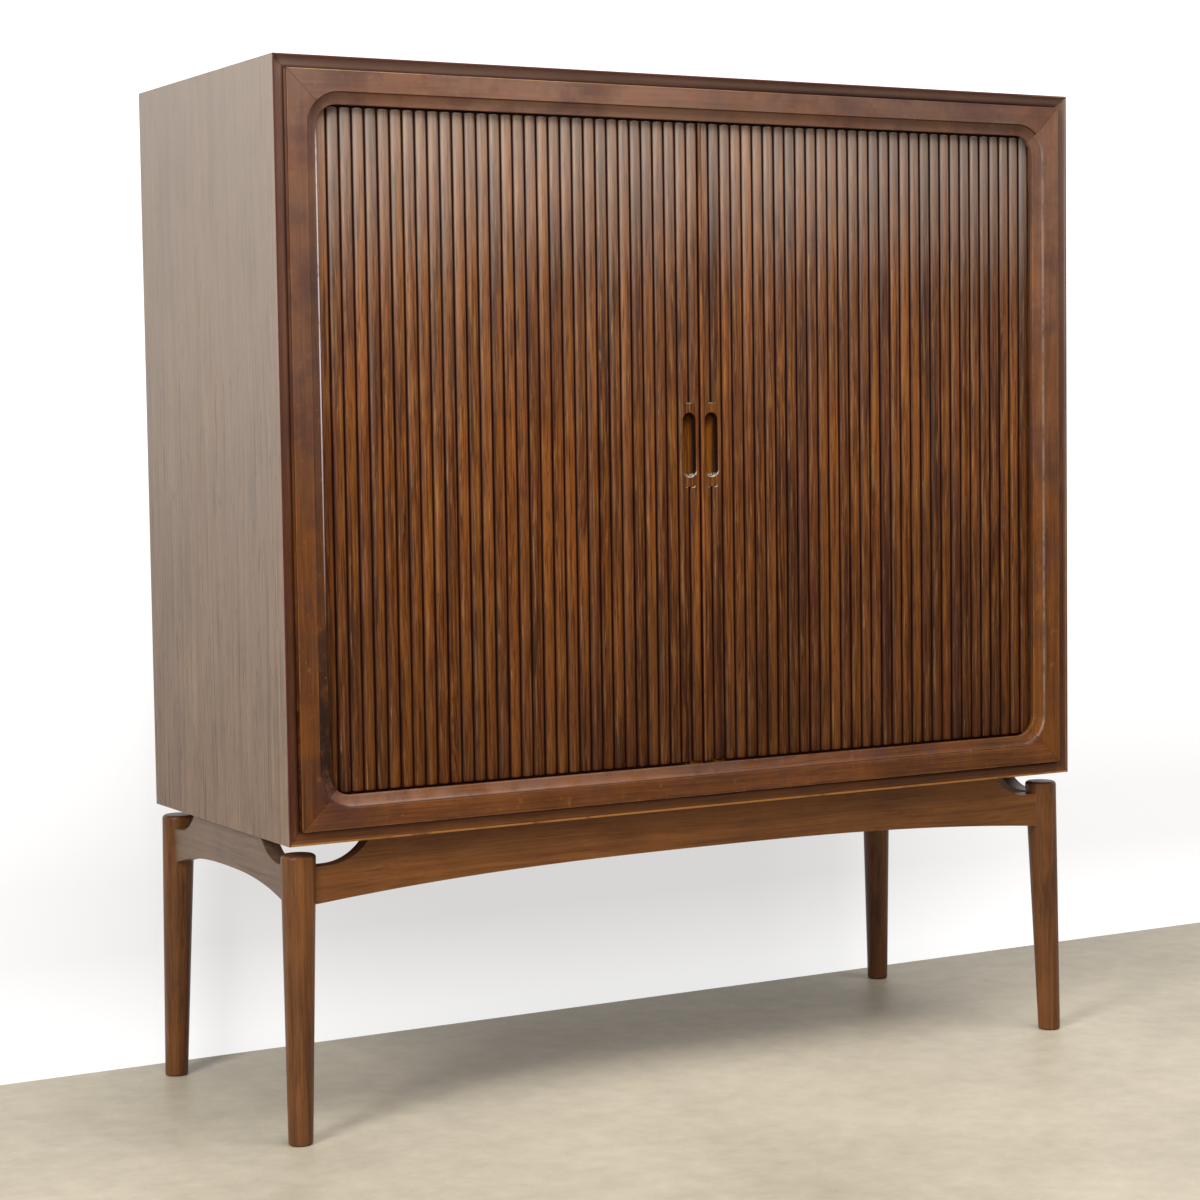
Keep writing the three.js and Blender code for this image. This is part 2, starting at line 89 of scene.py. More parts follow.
class Board:
    """A node tree that takes nodes in short calls."""

    def __init__(self, tree):
        self.tree = tree

    def node(self, kind, inputs=None, **settings):
        made = self.tree.nodes.new("ShaderNode" + kind)
        for key, value in settings.items():
            setattr(made, key, value)
        for key, value in (inputs or {}).items():
            self.put(value, made.inputs[key])
        return made

    def put(self, value, socket):
        if isinstance(value, bpy.types.NodeSocket):
            self.tree.links.new(value, socket)
        else:
            socket.default_value = value

    def math(self, operation, a, b=0.0, clamp=False):
        return self.node("Math", {0: a, 1: b}, operation=operation, use_clamp=clamp).outputs[0]

    def add(self, *parts):
        total = parts[0]
        for part in parts[1:]:
            total = self.math("ADD", total, part)
        return total

    def times(self, *parts):
        total = parts[0]
        for part in parts[1:]:
            total = self.math("MULTIPLY", total, part)
        return total

    def swing(self, value, amount):
        """A noise value turned into plus or minus half the amount."""
        return self.math("MULTIPLY", self.math("SUBTRACT", value, 0.5), amount)

    def mix(self, share, a, b, blend="MIX"):
        made = self.node("Mix", {0: share, 6: a, 7: b}, data_type="RGBA", blend_type=blend)
        return made.outputs[2]

    def ramp(self, value, low, high):
        """0 at low, 1 at high, straight between them and held beyond."""
        made = self.node("MapRange", {0: value, 1: low, 2: high, 3: 0.0, 4: 1.0}, clamp=True)
        return made.outputs[0]

    def noise_of(self, parts, scale):
        """Even noise on the object's own coordinates."""
        place = self.node("CombineXYZ", dict(enumerate(parts))).outputs[0]
        return self.noise(place, (scale, scale, scale), 4.0, 0.65)

    def stretch(self, vector, scale):
        return self.node("VectorMath", {0: vector, 1: scale}, operation="MULTIPLY").outputs[0]

    def noise(self, vector, scale, detail=2.0, rough=0.5):
        made = self.node("TexNoise", {"Vector": self.stretch(vector, scale), "Scale": 1.0,
                                      "Detail": detail, "Roughness": rough})
        return made.outputs["Fac"]


def effect(name, inputs, outputs):
    """A shader node group with named inputs and outputs: its board, what comes in, what goes out."""
    tree = bpy.data.node_groups.new(name, "ShaderNodeTree")
    for label, kind, value in inputs:
        socket = tree.interface.new_socket(label, in_out="INPUT", socket_type="NodeSocket" + kind)
        if value is not None:
            socket.default_value = value
    for label, kind in outputs:
        tree.interface.new_socket(label, in_out="OUTPUT", socket_type="NodeSocket" + kind)
    return Board(tree), tree.nodes.new("NodeGroupInput").outputs, tree.nodes.new("NodeGroupOutput").inputs


def wood_effect():
    """Open-pored wood with its grain along Z, in metres."""
    b, given, out = effect(
        "oiled wood",
        [("Vector", "Vector", None), ("Board", "Float", 0.0), ("Light", "Color", tint("7d4a27")),
         ("Dark", "Color", tint("3a1d0e")), ("Pore", "Color", tint("190b05")), ("Figure", "Float", 1.0),
         ("Arches", "Float", 0.2), ("Pores", "Float", 1.0), ("Tone Spread", "Float", 0.3)],
        [("Color", "Color"), ("Roughness", "Float"), ("Height", "Float")],
    )
    shift = b.node("CombineXYZ", {0: b.times(given["Board"], 0.731), 1: b.times(given["Board"], 0.317),
                                  2: b.times(given["Board"], 1.973)}).outputs[0]
    place = b.node("VectorMath", {0: given["Vector"], 1: shift}, operation="ADD").outputs[0]
    sway = b.swing(b.noise(place, (5.0, 5.0, 1.3), 3.0), 0.045)
    swayed = b.node("CombineXYZ", {0: sway, 1: sway}).outputs[0]
    bent = b.node("VectorMath", {0: place, 1: swayed}, operation="ADD").outputs[0]
    broad = b.noise(bent, (13.0, 13.0, 0.8), 3.0, 0.55)
    rings = b.noise(bent, (150.0, 150.0, 1.6), 3.0, 0.6)
    fibre = b.noise(bent, (620.0, 620.0, 9.0), 3.0, 0.7)
    streak = b.noise(bent, (330.0, 330.0, 3.6), 2.0, 0.5)
    pores = b.noise(bent, (900.0, 900.0, 38.0), 1.0, 0.5)
    blotch = b.noise(place, (17.0, 17.0, 7.0), 4.0, 0.6)
    hill = b.noise(bent, (4.2, 4.2, 0.5), 1.0, 0.4)
    arches = b.math("SINE", b.times(hill, 120.0))
    figure = b.add(b.swing(broad, 1.2), b.swing(rings, 2.3), b.swing(fibre, 1.9),
                   b.times(arches, given["Arches"], 0.5))
    tone = b.node("TexWhiteNoise", {"W": given["Board"]}, noise_dimensions="1D").outputs[0]
    share = b.add(0.5, b.times(figure, given["Figure"]), b.swing(blotch, 0.9),
                  b.times(b.math("SUBTRACT", tone, 0.5), given["Tone Spread"]))
    share = b.ramp(share, 0.0, 1.0)
    colour = b.mix(share, given["Dark"], given["Light"])
    deep = b.times(b.ramp(pores, 0.60, 0.70), b.ramp(rings, 0.36, 0.56))
    lines = b.times(b.ramp(streak, 0.58, 0.68), 0.8)
    dark = b.math("MULTIPLY", b.math("MAXIMUM", deep, lines), given["Pores"], clamp=True)
    b.put(b.mix(b.times(dark, 0.7), colour, given["Pore"]), out["Color"])
    b.put(b.add(0.33, b.times(broad, 0.10), b.times(dark, 0.15)), out["Roughness"])
    b.put(b.math("SUBTRACT", b.times(fibre, 0.4), dark), out["Height"])
    return b.tree


def wear_and_highlight_effect():
    """Arrises lightened in patches, as wear and as a painted highlight, and a cloudy darkening of the finish.
    """
    b, given, out = effect(
        "handled finish and arris highlights",
        [("Color", "Color", None), ("Roughness", "Float", 0.4), ("Vector", "Vector", None),
         ("Rubbed And Lit", "Color", tint("b5824e")), ("Rub And Highlight", "Float", 0.5), ("Reach", "Float", 0.0018),
         ("Grime", "Color", tint("1d0f08")), ("Grime Amount", "Float", 0.35)],
        [("Color", "Color"), ("Roughness", "Float")],
    )
    rounded = b.node("Bevel", {"Radius": given["Reach"]}, samples=4).outputs[0]
    flat = b.node("NewGeometry").outputs["Normal"]
    turned = b.node("VectorMath", {0: rounded, 1: flat}, operation="DOT_PRODUCT").outputs["Value"]
    # The arrises are lightened in patches, as wear and as a painted highlight.
    edge = b.ramp(b.math("SUBTRACT", 1.0, turned), 0.006, 0.09)
    patchy = b.ramp(b.noise(given["Vector"], (30.0, 30.0, 22.0), 4.0, 0.7), 0.36, 0.62)
    rubbed_and_lit = b.times(edge, patchy, given["Rub And Highlight"])
    cloudy = b.ramp(b.noise(given["Vector"], (6.0, 6.0, 4.0), 4.0, 0.62), 0.42, 0.72)
    colour = b.mix(b.times(cloudy, given["Grime Amount"]), given["Color"], given["Grime"])
    b.put(b.mix(rubbed_and_lit, colour, given["Rubbed And Lit"]), out["Color"])
    b.put(b.math("SUBTRACT", given["Roughness"], b.times(rubbed_and_lit, 0.06)), out["Roughness"])
    return b.tree


def joint_effect():
    """How near a point is to a mitre of the front: 1 on the joint line, 0 away from it."""
    b, given, out = effect(
        "mitre lines",
        [("Vector", "Vector", None), ("Reach", "Float", 0.004)],
        [("Line", "Float")],
    )
    parts = b.node("SeparateXYZ", {0: given["Vector"]}).outputs
    across = b.math("SUBTRACT", b.math("ABSOLUTE", parts[0]), OPENING_HALF_WIDTH)
    rise = b.math("ABSOLUTE", b.math("SUBTRACT", parts[2], CASE_MIDDLE))
    along = b.math("SUBTRACT", rise, OPENING_HALF_HEIGHT)
    off = b.math("ABSOLUTE", b.math("SUBTRACT", across, along))
    b.put(b.math("SUBTRACT", 1.0, b.math("DIVIDE", off, given["Reach"]), clamp=True), out["Line"])
    return b.tree


def top_sheen_effect():
    """A painted sheen: paler and greyer wood towards the top, where the finish would reflect a bright room.
    """
    b, given, out = effect(
        "bleached by light",
        [("Color", "Color", None), ("Height", "Float", 0.0), ("Faded", "Color", tint("8b6f60")),
         ("Low", "Float", 0.72), ("High", "Float", 1.32), ("Amount", "Float", 0.4)],
        [("Color", "Color")],
    )
    share = b.times(b.ramp(given["Height"], given["Low"], given["High"]), given["Amount"])
    b.put(b.mix(share, given["Color"], given["Faded"]), out["Color"])
    return b.tree


WOOD = wood_effect()
WEAR_AND_HIGHLIGHT = wear_and_highlight_effect()
JOINT = joint_effect()
TOP_SHEEN = top_sheen_effect()
TURNS = {"X": (2, 1, 0), "Y": (0, 2, 1), "Z": (0, 1, 2)}


def new_material(name):
    made = bpy.data.materials.new(name)
    made.use_nodes = True
    made.node_tree.nodes.clear()
    b = Board(made.node_tree)
    shader = b.node("BsdfPrincipled")
    out = b.node("OutputMaterial")
    b.put(shader.outputs[0], out.inputs[0])
    return made, b, shader


def wood(name, grain, light, dark, rub_and_highlight=0.6, grime=0.3, figure=1.0, arches=0.2, pores=1.0, seed=0.0,
         bump=0.3, polish=0.0, top_sheen=0.45, top_sheen_from=0.72, top_sheen_tint="937a70", gloss=0.16, mitred=False,
         details=None):
    """A wood finish; details takes the board, the place and the colour, and gives the colour back."""
    made, b, shader = new_material(name)
    source = b.node("TexCoord").outputs["Object"]
    parts = b.node("SeparateXYZ", {0: source}).outputs
    place = b.node("CombineXYZ", {i: parts[axis] for i, axis in enumerate(TURNS[grain])}).outputs[0]
    own = b.node("Group", {"Vector": place, "Board": seed, "Light": tint(light), "Dark": tint(dark),
                           "Figure": figure, "Arches": arches, "Pores": pores, "Tone Spread": 0.0},
                 node_tree=WOOD).outputs
    # The wood turns paler and greyer towards the top: a painted sheen.
    colour = b.node("Group", {"Color": own["Color"], "Height": parts[2], "Amount": top_sheen,
                              "Low": top_sheen_from, "Faded": tint(top_sheen_tint)}, node_tree=TOP_SHEEN).outputs["Color"]
    if mitred:
        joint = b.node("Group", {"Vector": source}, node_tree=JOINT).outputs["Line"]
        colour = b.mix(b.times(b.ramp(joint, 0.85, 0.97), 0.45), colour, tint("1b0d07"))
        rub_and_highlight = b.times(b.math("SUBTRACT", 1.0, b.ramp(joint, 0.0, 0.5)), rub_and_highlight)
    worn = b.node("Group", {"Color": colour, "Roughness": own["Roughness"], "Vector": source,
                            "Rub And Highlight": rub_and_highlight, "Grime Amount": grime}, node_tree=WEAR_AND_HIGHLIGHT).outputs
    colour = details(b, parts, worn["Color"]) if details else worn["Color"]
    b.put(colour, shader.inputs["Base Color"])
    b.put(b.math("SUBTRACT", worn["Roughness"], polish), shader.inputs["Roughness"])
    relief = b.node("Bump", {"Strength": bump, "Distance": 0.0002, "Height": own["Height"]})
    b.put(relief.outputs[0], shader.inputs["Normal"])
    shader.inputs["Specular IOR Level"].default_value = gloss
    return made


def lip_lines(b, parts, colour):
    """The lipping's outer band is dark red and its corner at the frame carries a painted shade from the
    frame's proud edge, but not at the right.
    """
    left = b.math("SUBTRACT", 1.0, b.ramp(parts[0], 0.5, 0.57))
    band = b.times(b.ramp(parts[1], -0.2243, -0.2249), left)
    colour = b.mix(b.times(band, 0.8), colour, tint("4c1a20"))
    inset = b.math("MAXIMUM", b.math("SUBTRACT", CASE_HALF_WIDTH, b.math("ABSOLUTE", parts[0])), 0.0)
    rise = b.math("ABSOLUTE", b.math("SUBTRACT", parts[2], CASE_MIDDLE))
    drop = b.math("SUBTRACT", CASE_HALF_HEIGHT, rise)
    # Painted shade where the frame stands proud of the lipping.
    corner = b.times(b.ramp(b.math("MINIMUM", inset, drop), 0.0115, 0.0150), left)
    return b.mix(b.times(corner, 0.8), colour, tint("200b0a"))


def foot_lip_lines(b, parts, colour):
    """Below the doors the lipping's outer band has a golden line in patches, and a painted shadow of the
    frame's proud edge at its corner.
    """
    band = b.times(b.ramp(parts[1], -0.2243, -0.2249), b.ramp(b.noise_of(parts, 26.0), 0.34, 0.5))
    colour = b.mix(b.times(band, 0.7), colour, tint("a8743a"))
    # Painted shadow of the frame's proud edge on the lipping below it.
    corner = b.ramp(parts[2], 0.3795, 0.3825)
    return b.mix(b.times(corner, 0.7), colour, tint("200b0a"))


def frame_lines(b, parts, colour):
    """A painted shade line where the frame's hollow starts, finish worn thin in patches, and mottled colour.
    """
    # Painted shade: a dark line just inside the arris, where the hollow starts.
    start = b.times(b.ramp(parts[1], -0.2273, -0.2269),
                    b.math("SUBTRACT", 1.0, b.ramp(parts[1], -0.2262, -0.2246)))
    colour = b.mix(b.times(start, 0.9), colour, tint("1d0c0a"))
    thin = b.ramp(b.noise_of(parts, 70.0), 0.60, 0.70)
    colour = b.mix(b.times(thin, 0.3), colour, tint("9a6a3c"))
    rusty = b.ramp(b.noise_of(parts, 9.0), 0.46, 0.62)
    colour = b.mix(b.times(rusty, 0.18), colour, tint("8a4f1c"))
    plum = b.ramp(b.noise_of((parts[2], parts[1], parts[0]), 12.0), 0.48, 0.64)
    return b.mix(b.times(plum, 0.42), colour, tint("40282c"))


def rail_lines(b, parts, colour):
    """The top rail is dark at the right, and its upper arris has a thin yellow line, worn and a painted
    highlight.

    The bottom rail's hollow carries a painted highlight towards the left.
    """
    right_end = b.times(b.ramp(parts[0], 0.1, 0.55), b.ramp(parts[2], 1.2, 1.22), 0.4)
    colour = b.mix(right_end, colour, tint("46291a"))
    colour = frame_lines(b, parts, colour)
    # A painted highlight along the bottom rail's hollow, which faces up to the light, strongest at the left.
    pale = b.times(b.ramp(parts[1], -0.2264, -0.2238), b.ramp(parts[2], 0.430, 0.424),
                   b.ramp(b.noise_of(parts, 22.0), 0.3, 0.55), b.ramp(parts[0], 0.3, -0.4))
    colour = b.mix(b.times(pale, 0.4), colour, tint("a07a68"))
    # The top rail's upper arris: a thin yellow line, worn and a painted highlight.
    arris = b.times(b.ramp(parts[2], 1.2876, 1.2884), b.ramp(parts[0], 0.3, -0.5),
                    b.ramp(parts[1], -0.2255, -0.2268))
    patchy = b.ramp(b.noise_of(parts, 18.0), 0.34, 0.56)
    return b.mix(b.times(arris, patchy, 0.6), colour, tint("cfa868"))


def stile_lines(b, parts, colour):
    """The left stile's inner edge carries a painted highlight, a pale strip; its hollow holds grime lower
    down.
    """
    colour = frame_lines(b, parts, colour)
    lower = b.math("SUBTRACT", 1.0, b.ramp(parts[2], 1.20, 1.22))
    # A painted highlight: a pale strip along the left stile's inner edge.
    edge = b.times(b.ramp(parts[0], -0.5364, -0.5354), b.ramp(parts[2], 0.62, 0.9), lower,
                   b.math("SUBTRACT", 1.0, b.ramp(parts[0], -0.50, -0.45)))
    colour = b.mix(b.times(edge, b.ramp(b.noise_of(parts, 40.0), 0.25, 0.45), 0.9), colour, tint("d6ccd2"))
    hollow = b.times(b.ramp(parts[1], -0.2268, -0.2235), b.ramp(b.noise_of(parts, 34.0), 0.40, 0.52),
                     b.math("SUBTRACT", 1.0, b.ramp(parts[2], 0.52, 0.70)))
    colour = b.mix(b.times(hollow, 0.85), colour, tint("1c0b0c"))
    chips = b.times(hollow, b.ramp(b.noise_of(parts, 170.0), 0.62, 0.70))
    return b.mix(b.times(chips, 0.4), colour, tint("a87860"))


def right_stile_lines(b, parts, colour):
    """The right stile's hollow carries a painted highlight beside the flat, and so does its outer arris."""
    colour = frame_lines(b, parts, colour)
    patchy = b.ramp(b.noise_of(parts, 30.0), 0.3, 0.55)
    # A painted highlight in the hollow beside the flat.
    hollow = b.times(b.ramp(parts[1], -0.2240, -0.2256), b.ramp(parts[1], -0.2272, -0.2268), patchy)
    colour = b.mix(b.times(hollow, 0.5), colour, tint("a58f84"))
    # A painted highlight on the outer arris.
    arris = b.times(b.ramp(parts[0], 0.5725, 0.5755), b.ramp(parts[1], -0.2262, -0.2270), patchy)
    return b.mix(b.times(arris, 0.4), colour, tint("a98c78"))


def slat_wood(name, light, dark):
    """Slats differ in tone; their left flanks carry a painted sheen, their right flanks a saturated orange
    where they turn from the light, their upward ends a painted highlight and their grooves a painted shade.
    """
    made, b, shader = new_material(name)
    parts = b.node("SeparateXYZ", {0: b.node("UVMap", uv_map="grain").outputs[0]}).outputs
    deep = b.node("Attribute", attribute_name="depth").outputs["Fac"]
    facing = b.node("SeparateXYZ", {0: b.node("NewGeometry").outputs["Normal"]}).outputs
    lean, rise = facing[0], facing[2]
    number = b.node("Attribute", attribute_name="board").outputs["Fac"]
    place = b.node("CombineXYZ", {0: parts[0], 1: deep, 2: parts[1]}).outputs[0]
    whole = b.node("CombineXYZ", {0: parts[0], 1: 0.0, 2: parts[1]}).outputs[0]
    own = b.node("Group", {"Vector": place, "Board": number, "Light": tint(light), "Dark": tint(dark),
                           "Figure": 1.15, "Arches": 0.0, "Pores": 1.0, "Tone Spread": 0.6},
                 node_tree=WOOD).outputs
    plum = b.node("TexWhiteNoise", {"W": b.add(number, 0.37)}, noise_dimensions="1D").outputs[0]
    plum = b.times(b.ramp(plum, 0.45, 0.95), b.ramp(b.noise(place, (50.0, 50.0, 2.2), 2.0), 0.38, 0.6))
    colour = b.mix(b.times(plum, 0.5), own["Color"], tint("4f2c26"))
    # Painted shade: the right flanks, turned from the light, take a saturated orange without sheen.
    amber = b.times(b.ramp(lean, 0.05, 0.6), b.ramp(b.noise(place, (60.0, 60.0, 5.0), 3.0), 0.35, 0.6))
    colour = b.mix(b.times(amber, 0.65), colour, tint("8f4a10"))
    # The painted sheen towards the top is stronger on the left, towards the light.
    leftward = b.ramp(parts[0], 0.5, -0.4)
    colour = b.node("Group", {"Color": colour, "Height": parts[1], "Low": 0.86,
                              "Amount": b.add(0.16, b.times(leftward, 0.3)),
                              "Faded": tint("826e5e")}, node_tree=TOP_SHEEN).outputs["Color"]
    golden = b.times(b.ramp(b.noise(place, (75.0, 75.0, 3.0), 2.0), 0.50, 0.64), b.ramp(lean, -0.75, 0.1))
    colour = b.mix(b.times(golden, 0.5), colour, tint("94591c"))
    # Painted sheen on the left flanks, which face the light, stronger higher up and to the left.
    painted_sheen = b.times(b.ramp(lean, 0.1, -0.7), b.ramp(b.noise(place, (45.0, 45.0, 1.6), 2.0), 0.34, 0.58),
                       b.add(0.12, b.times(b.ramp(parts[1], 0.75, 1.3), b.add(0.14, b.times(leftward, 0.2)))))
    colour = b.mix(painted_sheen, colour, tint("968774"))
    bark = b.noise(place, (360.0, 360.0, 15.0), 3.0, 0.6)
    colour = b.mix(b.times(b.ramp(bark, 0.56, 0.66), 0.34), colour, tint("b0824e"))
    colour = b.mix(b.times(b.ramp(bark, 0.46, 0.36), 0.55), colour, tint("230f07"))
    shade = b.times(b.ramp(parts[0], 0.1, 0.5), b.ramp(parts[1], 0.9, 1.2), 0.5)
    colour = b.mix(shade, colour, tint("3e2a20"))
    cloudy = b.ramp(b.noise(whole, (7.0, 1.0, 4.0), 4.0, 0.62), 0.44, 0.70)
    colour = b.mix(b.times(cloudy, 0.35), colour, tint("2a1409"))
    foot = b.times(b.ramp(parts[1], 0.72, 0.43), 0.3)
    colour = b.mix(foot, colour, tint("2a1406"))
    worn = b.ramp(b.noise(place, (420.0, 420.0, 16.0), 3.0, 0.72), 0.60, 0.72)
    flank = b.times(b.ramp(deep, 0.0003, 0.0009), b.math("SUBTRACT", 1.0, b.ramp(deep, 0.0014, 0.0022)))
    colour = b.mix(b.times(flank, worn, 0.6), colour, tint("bd8a52"))
    # A painted highlight on the slats' upward-facing ends.
    ends = b.times(b.ramp(rise, 0.12, 0.55), b.ramp(lean, 0.8, 0.2))
    colour = b.mix(b.times(ends, 0.8), colour, tint("d2c6bc"))
    dents = b.ramp(b.noise(whole, (260.0, 1.0, 210.0), 1.0, 0.5), 0.77, 0.80)
    colour = b.mix(b.times(dents, 0.7), colour, tint("170a06"))
    # Painted shade in the grooves between the slats, darker with depth.
    hollow = b.ramp(deep, 0.0011, 0.0030)
    colour = b.mix(b.times(hollow, 0.92), colour, tint("1e0507"))
    b.put(colour, shader.inputs["Base Color"])
    roughness = b.add(b.math("SUBTRACT", own["Roughness"], 0.06), b.times(hollow, 0.3))
    b.put(roughness, shader.inputs["Roughness"])
    relief = b.node("Bump", {"Strength": 0.35, "Distance": 0.0002, "Height": own["Height"]})
    b.put(relief.outputs[0], shader.inputs["Normal"])
    shader.inputs["Specular IOR Level"].default_value = 0.1
    return made


def recess_wood():
    """The finger recess: an orange-brown floor, walls and upper end in painted shade, and a painted highlight
    on its lower end.
    """
    made, b, shader = new_material("finger recess wood")
    place = b.node("TexCoord").outputs["Object"]
    own = b.node("Group", {"Vector": place, "Board": 52.0, "Light": tint("a86420"), "Dark": tint("4d2709"),
                           "Arches": 0.0, "Tone Spread": 0.0}, node_tree=WOOD).outputs
    facing = b.node("SeparateXYZ", {0: b.node("NewGeometry").outputs["Normal"]}).outputs
    # Painted shade on the walls that turn from the front and on the upper end, where overhead light is shut
    # out.
    wall = b.math("SUBTRACT", 1.0, b.ramp(b.times(facing[1], -1.0), 0.72, 0.995))
    height = b.node("SeparateXYZ", {0: place}).outputs[2]
    high = b.ramp(height, PULL_HEIGHT + 0.018, PULL_HEIGHT + RECESS_HALF_HEIGHT)
    colour = b.mix(b.times(b.math("MAXIMUM", wall, high), 0.95), own["Color"], tint("120603"))
    # A painted highlight on the lower end's upward-facing rim.
    low_end = b.times(b.ramp(facing[2], 0.4, 0.9), b.ramp(b.noise(place, (500.0, 500.0, 300.0)), 0.44, 0.58))
    b.put(b.mix(b.times(low_end, 0.8), colour, tint("cfc3a8")), shader.inputs["Base Color"])
    shader.inputs["Roughness"].default_value = 0.36
    shader.inputs["Specular IOR Level"].default_value = 0.05
    return made


# The side veneers grow greyer towards the top: a painted sheen, as their finish would reflect a bright room.
SIDE = wood("case side veneer", "Z", "8f745c", "604c3c", rub_and_highlight=0.3, grime=0.1, figure=0.5, arches=0.3,
            seed=3.0, bump=0.4, top_sheen=0.62, top_sheen_from=0.45, top_sheen_tint="a69a90", gloss=0.2, pores=0.9)
SIDE_RIGHT = wood("right side veneer", "Z", "8f745c", "604c3c", rub_and_highlight=0.3, grime=0.1, figure=0.5, arches=0.3,
                  seed=8.0, bump=0.4, top_sheen=0.62, top_sheen_from=0.45, top_sheen_tint="a69a90", gloss=0.2, pores=0.9)
LONG = wood("case top veneer", "X", "7f4a24", "40200c", rub_and_highlight=0.9, grime=0.2, seed=5.0)
LIPPING = wood("upright lipping", "Z", "7d4d30", "43241a", rub_and_highlight=0.4, grime=0.3, figure=0.6, pores=0.5,
               seed=17.0, mitred=True, details=lip_lines)
HEAD_LIPPING = wood("head lipping", "X", "7d4d30", "43241a", rub_and_highlight=0.4, grime=0.3, figure=0.6, pores=0.5,
                    seed=18.0, mitred=True, details=lip_lines)
FOOT_LIPPING = wood("foot lipping", "X", "7a4a24", "43240f", rub_and_highlight=0.4, grime=0.3, figure=0.6, pores=0.5,
                    seed=19.0, mitred=True, details=foot_lip_lines)
RAIL = wood("frame rail wood", "X", "824e28", "462610", rub_and_highlight=0.8, grime=0.45, figure=0.65, pores=0.5,
            seed=11.0, polish=0.07, mitred=True, details=rail_lines)
STILE = wood("left stile wood", "Z", "73441f", "3a1e0d", rub_and_highlight=0.8, grime=0.45, figure=0.65, pores=0.5,
             seed=14.0, polish=0.07, mitred=True, details=stile_lines)
STILE_RIGHT = wood("right stile wood", "Z", "8a5222", "4a280c", rub_and_highlight=0.8, grime=0.3, figure=0.65, pores=0.5,
                   seed=15.0, polish=0.07, mitred=True, details=right_stile_lines)
LEG = wood("leg wood", "Z", "85532a", "462812", rub_and_highlight=0.4, grime=0.45, figure=0.6, pores=0.45, seed=21.0,
           top_sheen=0.0, gloss=0.24)
APRON = wood("long apron wood", "X", "8a572c", "573318", rub_and_highlight=0.4, grime=0.25, figure=0.55, pores=0.45,
             seed=24.0, top_sheen=0.0, gloss=0.2)
SHORT_APRON = wood("short apron wood", "Y", "886f5a", "5b4738", rub_and_highlight=0.4, grime=0.15, seed=27.0, top_sheen=0.0,
                   figure=0.4, pores=0.4, gloss=0.2)
CORNER_SLATS = wood("corner slat wood", "Z", "7a4620", "3a1c0b", rub_and_highlight=0.4, grime=0.4, seed=29.0, top_sheen=0.0)
INSIDE = wood("inner veneer", "Z", "9a6a40", "6c4526", rub_and_highlight=0.2, grime=0.08, seed=31.0, top_sheen=0.0)
SHELF = wood("shelf veneer", "X", "9a6a40", "6c4526", rub_and_highlight=0.3, grime=0.08, seed=34.0, top_sheen=0.0)
PLY = wood("back ply", "Z", "b08e66", "937150", rub_and_highlight=0.2, grime=0.1, figure=0.6, pores=0.5,
           seed=41.0, top_sheen=0.0)
SLATS = slat_wood("slat wood", "8b5021", "3b1909")
BEAD = slat_wood("worn bead wood", "a0602f", "6a3a1a")
RECESS = recess_wood()


def linen():
    made, b, shader = new_material("door cloth")
    place = b.node("TexCoord").outputs["Object"]
    warp = b.node("TexWave", {"Vector": place, "Scale": 260.0}, bands_direction="X").outputs["Fac"]
    weft = b.node("TexWave", {"Vector": place, "Scale": 260.0}, bands_direction="Z").outputs["Fac"]
    weave = b.times(warp, weft)
    slub = b.noise(place, (60.0, 60.0, 400.0), 3.0, 0.6)
    b.put(b.mix(b.math("MULTIPLY", b.add(weave, slub), 0.5), tint("54432f"), tint("8b7354")),
          shader.inputs["Base Color"])
    shader.inputs["Roughness"].default_value = 0.9
    relief = b.node("Bump", {"Strength": 0.4, "Distance": 0.0003, "Height": weave})
    b.put(relief.outputs[0], shader.inputs["Normal"])
    return made


def screw_metal():
    made, b, shader = new_material("dulled brass")
    place = b.node("TexCoord").outputs["Object"]
    dull = b.noise(place, (900.0, 900.0, 900.0), 3.0)
    b.put(b.mix(dull, tint("5e4a26"), tint("a58a4f")), shader.inputs["Base Color"])
    b.put(b.add(0.3, b.times(dull, 0.3)), shader.inputs["Roughness"])
    shader.inputs["Metallic"].default_value = 1.0
    return made


LINEN = linen()
BRASS = screw_metal()


# Pieces
def piece(name, bm, materials, body, nodes):
    """The finished bmesh as a piece that rides a body and stands for these nodes."""
    mesh = bpy.data.meshes.new(name)
    bm.to_mesh(mesh)
    bm.free()
    for made in materials:
        mesh.materials.append(made)
    mesh.shade_smooth()
    mesh.set_sharp_from_angle(angle=math.radians(38))
    obj = bpy.data.objects.new(name, mesh)
    bpy.context.scene.collection.objects.link(obj)
    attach(obj, body)
    if nodes:
        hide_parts(*nodes)
    return obj


def even_shading(obj):
    normals = obj.modifiers.new("even shading", "WEIGHTED_NORMAL")
    normals.keep_sharp = True
    return obj


